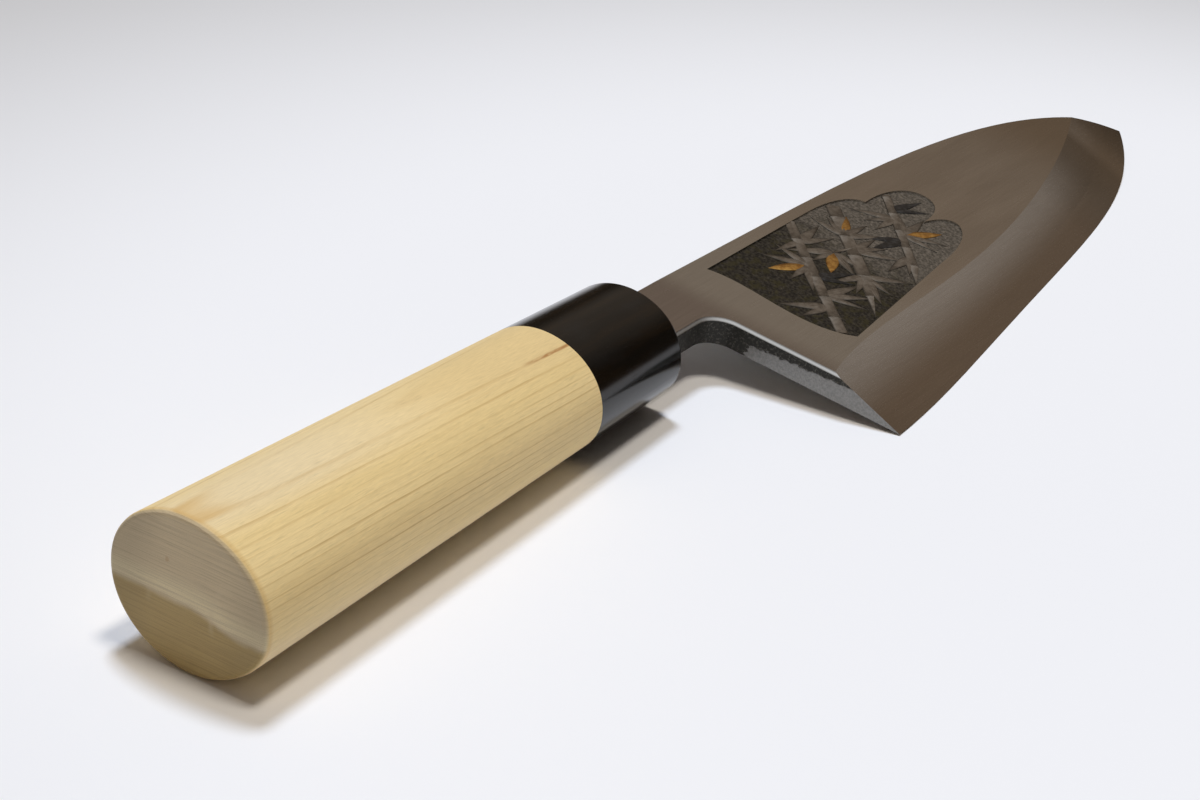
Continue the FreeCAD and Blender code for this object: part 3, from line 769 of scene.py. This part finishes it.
def makePunchedIron():
    material, tree, shader = startMaterial("punchedIron", Metallic=0.85)
    spot = useGroup(tree, knifePlace)["Place"]
    flat = useGroup(tree, flatHeight)
    level = groundLook["level"]
    peaks = ramp(tree, flat["Height"], level - 0.03, level + 0.05)
    near = mixColour(tree, peaks, groundLook["valley"], groundLook["peak"])
    mossy = ramp(tree, cloud(tree, spot, (0.4, 0.4, 0.4), 4.0, 0.7), 0.48, 0.62, 0.0, 0.7)
    near = mixColour(tree, mossy, near, groundLook["moss"])
    far = mixColour(tree, peaks, groundLook["farValley"], groundLook["farPeak"])
    patches = cloud(tree, spot, (0.25, 0.25, 0.25), 3.0, 0.6)
    ahead = scaleAdd(tree, minus(tree, patches, 0.5), groundLook["farPatchy"], flat["Ahead"])
    colour = mixColour(tree, ramp(tree, ahead, *groundLook["far"]), near, far)
    flecks = ramp(tree, cloud(tree, spot, (1.7, 1.7, 1.7), 2.0, 0.6), 0.66, 0.74)
    flecks = times(tree, flecks, ramp(tree, patches, 0.45, 0.6, 0.0, 0.6))
    colour = mixColour(tree, flecks, colour, groundLook["fleck"])
    leastRough, peakRough = groundLook["rough"]
    rough = scaleAdd(tree, peaks, peakRough, leastRough)
    relief = cloud(tree, spot, (5.0, 5.0, 5.0), 3.0, 0.7)
    finishMaterial(tree, shader, colour, rough, relief, groundLook["bump"])
    return material


ground, punchedIron = shapeGround(), makePunchedIron()
finishOnBlade(ground, "engravedGround", punchedIron, groundLook["smoothUnder"])


# leaves: one pattern for the bamboo and one for the gold inlay
bambooLeaf = {
    "length": 10.6, "width": 2.9, "crown": 0.22, "rib": 0.06, "thickness": 0.07,
    "pulls": ((-0.44, 0.78), (-0.05, 0.42)), "columns": 12, "rows": 8,
}
goldLeaf = {
    "length": 10.0, "width": 3.0, "crown": 0.27, "rib": 0.05, "thickness": 0.08,
    "pulls": ((-0.3, 0.75), (0.15, 0.6)), "columns": 14, "rows": 8,
}
leafEnd = {"width": 0.06, "height": 0.2}    # the least at both ends, mm and share


def leafHalfWidth(look, x):  # half the outline's width at x, both as shares
    (firstX, firstY), (secondX, secondY) = look["pulls"]
    low, high = 0.0, 1.0
    for _ in range(40):  # halves the gap each time
        share = (low + high) / 2
        rest = 1 - share
        first, second = 3 * rest**2 * share, 3 * rest * share**2
        at = -0.5 * rest**3 + first * firstX + second * secondX + 0.5 * share**3
        low, high = (share, high) if at < x else (low, share)
    return first * firstY + second * secondY


def shapeLeaf(look):
    columns, rows = look["columns"], look["rows"]
    bpy.ops.object.select_all(action="DESELECT")
    bpy.ops.mesh.primitive_grid_add(x_subdivisions=columns, y_subdivisions=rows, size=1.0)
    leaf = bpy.context.object
    bpy.ops.object.mode_set(mode="EDIT")
    for row in range(rows + 1):
        y = row / rows - 0.5
        arch = look["crown"] * math.sqrt(max(1 - 4 * y * y, 0.0))
        vein = look["rib"] * math.cos(8 * math.pi * y) * (1 - 4 * y * y)
        pickPoints(leaf, lambda point: abs(point.y - y) < closeBy)
        bpy.ops.transform.translate(value=(0, 0, arch - vein))
    for column in range(columns + 1):
        x = column / columns - 0.5
        share = 2 * leafHalfWidth(look, x)
        width = max(share * look["width"], leafEnd["width"])
        height = max(share, leafEnd["height"])
        pickPoints(leaf, lambda point: abs(point.x - x) < closeBy)
        bpy.ops.transform.resize(value=(1, width, height), center_override=(x, 0, 0))
    bpy.ops.mesh.select_all(action="SELECT")
    bpy.ops.transform.resize(value=(look["length"], 1, 1), center_override=(0, 0, 0))
    bpy.ops.object.mode_set(mode="OBJECT")
    applyModifier(leaf, "SOLIDIFY", thickness=look["thickness"], offset=-1.0)
    applyModifier(leaf, "SUBSURF", levels=1, render_levels=1)
    return leaf


# gold leaves stand where the inlays are
goldLook = {
    "bright": rgb(0.95, 0.58, 0.17),
    "deep": rgb(0.62, 0.32, 0.08),
    "lowTone": rgb(0.16, 0.10, 0.05),           # darker low on the leaf, near the ground
    "places": (                             # x, y, turn
        (31.64, -6.5, 152.0),
        (42.3, -11.26, 205.0),
        (60.34, -4.46, 24.0),
        (73.46, -17.38, -30.0),
    ),
    "level": -0.34,
    "rough": (0.20, 0.25),
    "scratchRough": 0.12,
    "scratchRelief": 0.5,
    "bump": (0.4, 0.00003),
}


def makeGold():
    material, tree, shader = startMaterial("inlaidGold", Metallic=1.0)
    spot = useGroup(tree, knifePlace)["Place"]
    height = useGroup(tree, flatHeight)["Height"]
    burnish = cloud(tree, spot, (0.8, 0.8, 0.8), 4.0, 0.6)
    brightShare = ramp(tree, burnish, 0.35, 0.65)
    colour = mixColour(tree, brightShare, goldLook["deep"], goldLook["bright"])
    level = goldLook["level"]
    crease = ramp(tree, height, level + 0.10, level - 0.02, 0.0, 0.8)
    colour = mixColour(tree, crease, colour, goldLook["lowTone"])
    marks = useGroup(tree, scratches, {"Place": spot, "Fineness": 2.0, "Amount": 0.5})["Mask"]
    leastRough, moreRough = goldLook["rough"]
    rough = scaleAdd(tree, burnish, moreRough, leastRough)
    rough = scaleAdd(tree, marks, goldLook["scratchRough"], rough)
    relief = scaleAdd(tree, marks, -goldLook["scratchRelief"], burnish)
    finishMaterial(tree, shader, colour, rough, relief, goldLook["bump"])
    return material


inlaidGold = makeGold()
goldPattern = shapeLeaf(goldLeaf)
for number, (x, y, turn) in enumerate(goldLook["places"], 1):
    leaf = copyPiece(goldPattern)
    placeOnFlat(leaf, x, y, goldLook["level"], turn)
    finishOnBlade(leaf, f"goldLeaf{number}", inlaidGold)
    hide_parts(f"gold_leaf_{number}")
dropPiece(goldPattern)


# bamboo in relief: slanting culms with their joints, then sprays of leaves
culmLook = {
    "culms": (                              # foot x, y, head x, y, width
        (15.0, -29.0, 50.5, 4.0, 2.7),
        (30.0, -30.0, 69.0, 4.0, 3.5),
        (51.0, -28.0, 89.0, 1.5, 2.3),
        (52.4, -10.8, 46.4, -9.1, 0.9),     # twig
    ),
    "jointLength": 8.6,
    "height": 0.27,
    "level": -0.36,
    "sides": 20,
    "body": 0.94,                           # plain part, as a share of a joint
    "ringStep": 0.012,                      # half of the ring at each end
    "lipStep": 0.006,
    "swell": 1.16,                          # of the ring
    "lip": 0.86,                            # narrowing of the very end
    "endGap": 0.08,                         # mm between a cut end and the engraving's wall
    "jointGap": 0.04,
}


def shapeJoint():  # one length of culm, 1 long and 1 wide, rounded above and flat below
    bpy.ops.object.select_all(action="DESELECT")
    bpy.ops.mesh.primitive_cylinder_add(
        vertices=culmLook["sides"], radius=0.5, depth=culmLook["body"], rotation=(0, math.pi / 2, 0))
    joint = bpy.context.object
    bpy.ops.object.transform_apply(rotation=True)
    bpy.ops.object.mode_set(mode="EDIT")
    bpy.ops.mesh.select_all(action="SELECT")
    bpy.ops.mesh.bisect(plane_co=(0, 0, 0), plane_no=(0, 0, 1), use_fill=True, clear_inner=True)
    ringStep, lipStep = culmLook["ringStep"], culmLook["lipStep"]
    steps = ((ringStep, culmLook["swell"]), (ringStep, 1.0), (lipStep, culmLook["lip"]))
    bodyEnd = culmLook["body"] / 2
    for side in (-1, 1):
        end = bodyEnd * side
        pickPoints(joint, lambda point: point.x * side > bodyEnd - closeBy)
        for step, grow in steps:
            end += step * side
            bpy.ops.mesh.extrude_region_move(TRANSFORM_OT_translate={"value": (step * side, 0, 0)})
            bpy.ops.transform.resize(value=(1, grow, grow), center_override=(end, 0, 0))
    bpy.ops.object.mode_set(mode="OBJECT")
    return joint


def borderPoint(begin, heading):  # the last spot inside the engraving on the way from begin
    near, far = 0.0, engraving["reach"]
    for _ in range(24):  # halves the gap each time
        middle = (near + far) / 2
        spot = begin + heading * middle
        near, far = (middle, far) if insideEngraving(spot.x, spot.y) else (near, middle)
    return begin + heading * near


def endCuts(middle, heading, width):  # both ends of a culm are cut along the engraving's outline
    reach = culmLook["swell"] * width / 2 * heading.orthogonal()
    cuts = []
    for way in (heading, -heading):
        first, second = borderPoint(middle + reach, way), borderPoint(middle - reach, way)
        normal = (first - second).orthogonal()
        normal = normal if normal.dot(way) > 0 else -normal
        cuts.append((first - way * culmLook["endGap"], normal))
    return cuts


def makeCulm(footX, footY, headX, headY, width):
    foot = Vector((footX, footY))
    run = Vector((headX, headY)) - foot
    turn = math.degrees(math.atan2(run.y, run.x))
    count = round(run.length / culmLook["jointLength"])
    jointSize = (run.length / count - culmLook["jointGap"], width, 2 * culmLook["height"])
    cuts = endCuts(foot + run / 2, run.normalized(), width)
    joints = []
    for number in range(count):
        middle = foot + run * ((number + 0.5) / count)
        joint = copyPiece(jointPattern)
        placeOnFlat(joint, middle.x, middle.y, culmLook["level"], turn, jointSize)
        bpy.ops.object.mode_set(mode="EDIT")
        for spot, normal in cuts:
            bpy.ops.mesh.select_all(action="SELECT")
            bpy.ops.mesh.bisect(plane_co=(spot.x, spot.y, 0), plane_no=(normal.x, normal.y, 0),
                                use_fill=True, clear_outer=True)
        bpy.ops.mesh.select_all(action="SELECT")
        bpy.ops.mesh.normals_make_consistent(inside=False)
        bpy.ops.object.mode_set(mode="OBJECT")
        joints.append(joint)
    return joinPieces(joints)


reliefLook = {
    "pale": rgb(0.43, 0.385, 0.33),
    "dull": rgb(0.29, 0.255, 0.215),
    "crease": rgb(0.085, 0.075, 0.062),
    "creaseShadeFrom": (-0.17, -0.33, 0.0, 0.85),    # heights, then the weights of the painted shade in the creases
    "rough": (0.36, 0.2),
    "bump": (0.4, 0.00003),
    "dark": rgb(0.028, 0.026, 0.024),
    "darkPale": rgb(0.075, 0.072, 0.07),
    "darkRough": (0.26, 0.25),
    "darkBump": (0.3, 0.00003),
}


def makeChasedIron():
    material, tree, shader = startMaterial("chasedIron", Metallic=1.0)
    spot = useGroup(tree, knifePlace)["Place"]
    height = useGroup(tree, flatHeight)["Height"]
    wear = cloud(tree, spot, (0.7, 0.7, 0.7), 4.0, 0.65)
    colour = mixColour(tree, ramp(tree, wear, 0.35, 0.65), reliefLook["dull"], reliefLook["pale"])
    # darker low between the raised parts: painted shade in the creases
    low = ramp(tree, height, *reliefLook["creaseShadeFrom"])
    colour = mixColour(tree, low, colour, reliefLook["crease"])
    leastRough, moreRough = reliefLook["rough"]
    rough = scaleAdd(tree, wear, moreRough, leastRough)
    relief = cloud(tree, spot, (4.0, 4.0, 4.0), 3.0, 0.6)
    finishMaterial(tree, shader, colour, rough, relief, reliefLook["bump"])
    return material


def makeBlackedIron():
    material, tree, shader = startMaterial("blackedIron", Metallic=0.7)
    wear = cloud(tree, useGroup(tree, knifePlace)["Place"], (0.9, 0.9, 0.9), 4.0, 0.6)
    share = ramp(tree, wear, 0.4, 0.7)
    colour = mixColour(tree, share, reliefLook["dark"], reliefLook["darkPale"])
    leastRough, moreRough = reliefLook["darkRough"]
    rough = scaleAdd(tree, wear, moreRough, leastRough)
    finishMaterial(tree, shader, colour, rough, wear, reliefLook["darkBump"])
    return material


jointPattern = shapeJoint()
culms = joinPieces([makeCulm(*culm) for culm in culmLook["culms"]])
dropPiece(jointPattern)
chasedIron = makeChasedIron()
finishOnBlade(culms, "bambooCulms", chasedIron)

sprayLook = {
    "level": -0.335,
    "step": 0.012,              # each next leaf lies a little higher
    "steps": 4,
    "sizes": (1.0, 0.86, 1.08, 0.92, 0.8),
    "tests": (0.1, 0.5, 1.03),  # shares of a leaf that have to lie inside the engraving
    "sprays": (                 # stem x, y, then the turns of the grey leaves
        (36.3, -8.8, (118, 184, 214, 78)),
        (46.8, -9.2, (172, 236, 262, 140)),
        (55.8, -6.5, (-6, 54, -38, 82)),
        (69.1, -14.9, (4, -62, -94, 36)),
        (24.0, -20.5, (168, 198, 138, 228)),
        (60.5, -20.6, (206, 238, 268, 180, 300)),
        (43.0, -18.7, (196, 226, 160, 254, 310)),
        (51.5, -11.2, (-30, -58, -4)),
        (74.5, -9.8, (150, 120, 178, 96)),
        (83.0, -3.2, (-34, -70, 6)),
        (43.8, -2.2, (6, -24, 172, 146)),
        (27.5, -17.4, (-42, -72, -14)),
    ),
    "darkSprays": (
        (78.0, -7.0, (18, -14, 46, -44)),
        (66.5, -16.0, (166, 138)),
        (33.2, -12.1, (-58, -28)),
    ),
}


def makeSprays(sprays, firstStep):
    leaves = []
    for stemX, stemY, turns in sprays:
        stem = Vector((stemX, stemY))
        for turn in turns:
            size = sprayLook["sizes"][len(leaves) % len(sprayLook["sizes"])]
            reach = bambooLeaf["length"] * size
            heading = Vector((math.cos(math.radians(turn)), math.sin(math.radians(turn))))
            spots = [stem + heading * reach * share for share in sprayLook["tests"]]
            if not all(insideEngraving(spot.x, spot.y) for spot in spots):
                continue
            middle = spots[1]
            step = (len(leaves) + firstStep) % sprayLook["steps"]
            lift = sprayLook["level"] + sprayLook["step"] * step
            leaf = copyPiece(leafPattern)
            placeOnFlat(leaf, middle.x, middle.y, lift, turn, (size, size, 1.0))
            leaves.append(leaf)
    return joinPieces(leaves)


leafPattern = shapeLeaf(bambooLeaf)
greyLeaves = makeSprays(sprayLook["sprays"], 0)
finishOnBlade(greyLeaves, "bambooLeaves", chasedIron)
darkLeaves = makeSprays(sprayLook["darkSprays"], 2)
finishOnBlade(darkLeaves, "darkLeaves", makeBlackedIron())
dropPiece(leafPattern)
print("engraved design done")


# floor, light and camera

# the table's paint is pale near the knife and darker farther off: a painted falloff of the light
floorLook = {
    "size": 60.0,
    "near": rgb(0.91, 0.915, 0.92),
    "far": rgb(0.53, 0.52, 0.505),
    "centre": (-0.01, -0.09, 0.0),
    "fade": (0.18, 0.44),       # metres from the centre
}
bpy.ops.object.select_all(action="DESELECT")
bpy.ops.mesh.primitive_plane_add(size=floorLook["size"])
tableTop = bpy.context.object
tableTop.name = "tableTop"
tablePaint, tree, shader = startMaterial("tablePaint", Roughness=0.6, Specular_IOR_Level=0.25)
spot = addNode(tree, "TexCoord").outputs["Object"]
away = vectorValue(tree, "DISTANCE", spot, floorLook["centre"])
fade = ramp(tree, away, *floorLook["fade"])
paint = mixColour(tree, fade, floorLook["near"], floorLook["far"])
tree.links.new(paint, shader.inputs["Base Color"])
tableTop.data.materials.append(tablePaint)

# two ceiling lights give the double shadow, one cool and one warm
lamps = {
    "coolLamp": {"towards": (0.27, 0.21, 1.0), "colour": (0.71, 0.81, 0.98), "strength": 1.96},
    "warmLamp": {"towards": (0.08, -0.16, 1.0), "colour": (1.0, 0.92, 0.82), "strength": 1.34},
}
lampSpread = 11.0               # degrees
lampDistance = 2.0
for name, lamp in lamps.items():
    bpy.ops.object.light_add(type="SUN", location=Vector(lamp["towards"]) * lampDistance)
    light = bpy.context.object
    light.name = name
    light.rotation_euler = Vector(lamp["towards"]).to_track_quat("Z", "Y").to_euler()
    light.data.color = lamp["colour"]
    light.data.energy = lamp["strength"]
    light.data.angle = math.radians(lampSpread)
    light.visible_glossy = False  # polished metal mirrors the room's soft ceiling instead

room = {
    "dark": rgb(0.050, 0.036, 0.024),       # near the horizon and to the right
    "wall": rgb(0.250, 0.200, 0.155),       # warm far wall
    "high": rgb(0.165, 0.155, 0.155),
    "mirrorWall": rgb(0.286, 0.232, 0.183),  # the same as polished surfaces show it
    "mirrorSide": rgb(0.30, 0.295, 0.29),   # beside and behind the camera
    "mirrorHigh": rgb(0.62, 0.63, 0.65),
}
world = bpy.data.worlds.new("room")
scene.world = world
world.use_nodes = True
tree = world.node_tree
direction = addNode(tree, "TexCoord").outputs["Generated"]
heading = addNode(tree, "SeparateXYZ", {0: direction}).outputs
height = heading["Z"]
wallShare = band(tree, heading["Y"], (-0.50, -0.10), (0.62, 0.36, 0.35, 1.0))
wallShare = times(tree, wallShare, ramp(tree, height, 0.22, 0.42))
sky = mixColour(tree, wallShare, room["dark"], room["wall"])
sky = mixColour(tree, ramp(tree, height, 0.66, 0.90), sky, room["high"])
mirrored = mixColour(tree, wallShare, room["dark"], room["mirrorWall"])
sideShare = ramp(tree, heading["X"], 0.50, 0.10)
mirrored = mixColour(tree, sideShare, mirrored, room["mirrorSide"])
mirrored = mixColour(tree, ramp(tree, height, 0.64, 0.94), mirrored, room["mirrorHigh"])
glossyRay = addNode(tree, "LightPath").outputs["Is Glossy Ray"]
roomColour = mixColour(tree, glossyRay, sky, mirrored)
tree.links.new(roomColour, tree.nodes["Background"].inputs["Color"])

cameraView = {
    "location": (-0.38168515, -0.18453506, 0.20034118),
    "turn": (62.92371, -3.90595, -56.88054),
    "lens": 70.084,
    "sensor": 36.0,
}
cameraTurn = [math.radians(angle) for angle in cameraView["turn"]]
bpy.ops.object.camera_add(location=cameraView["location"], rotation=cameraTurn)
camera = bpy.context.object
camera.data.sensor_width = cameraView["sensor"]
camera.data.lens = cameraView["lens"]
scene.camera = camera
print("floor, light and camera done")
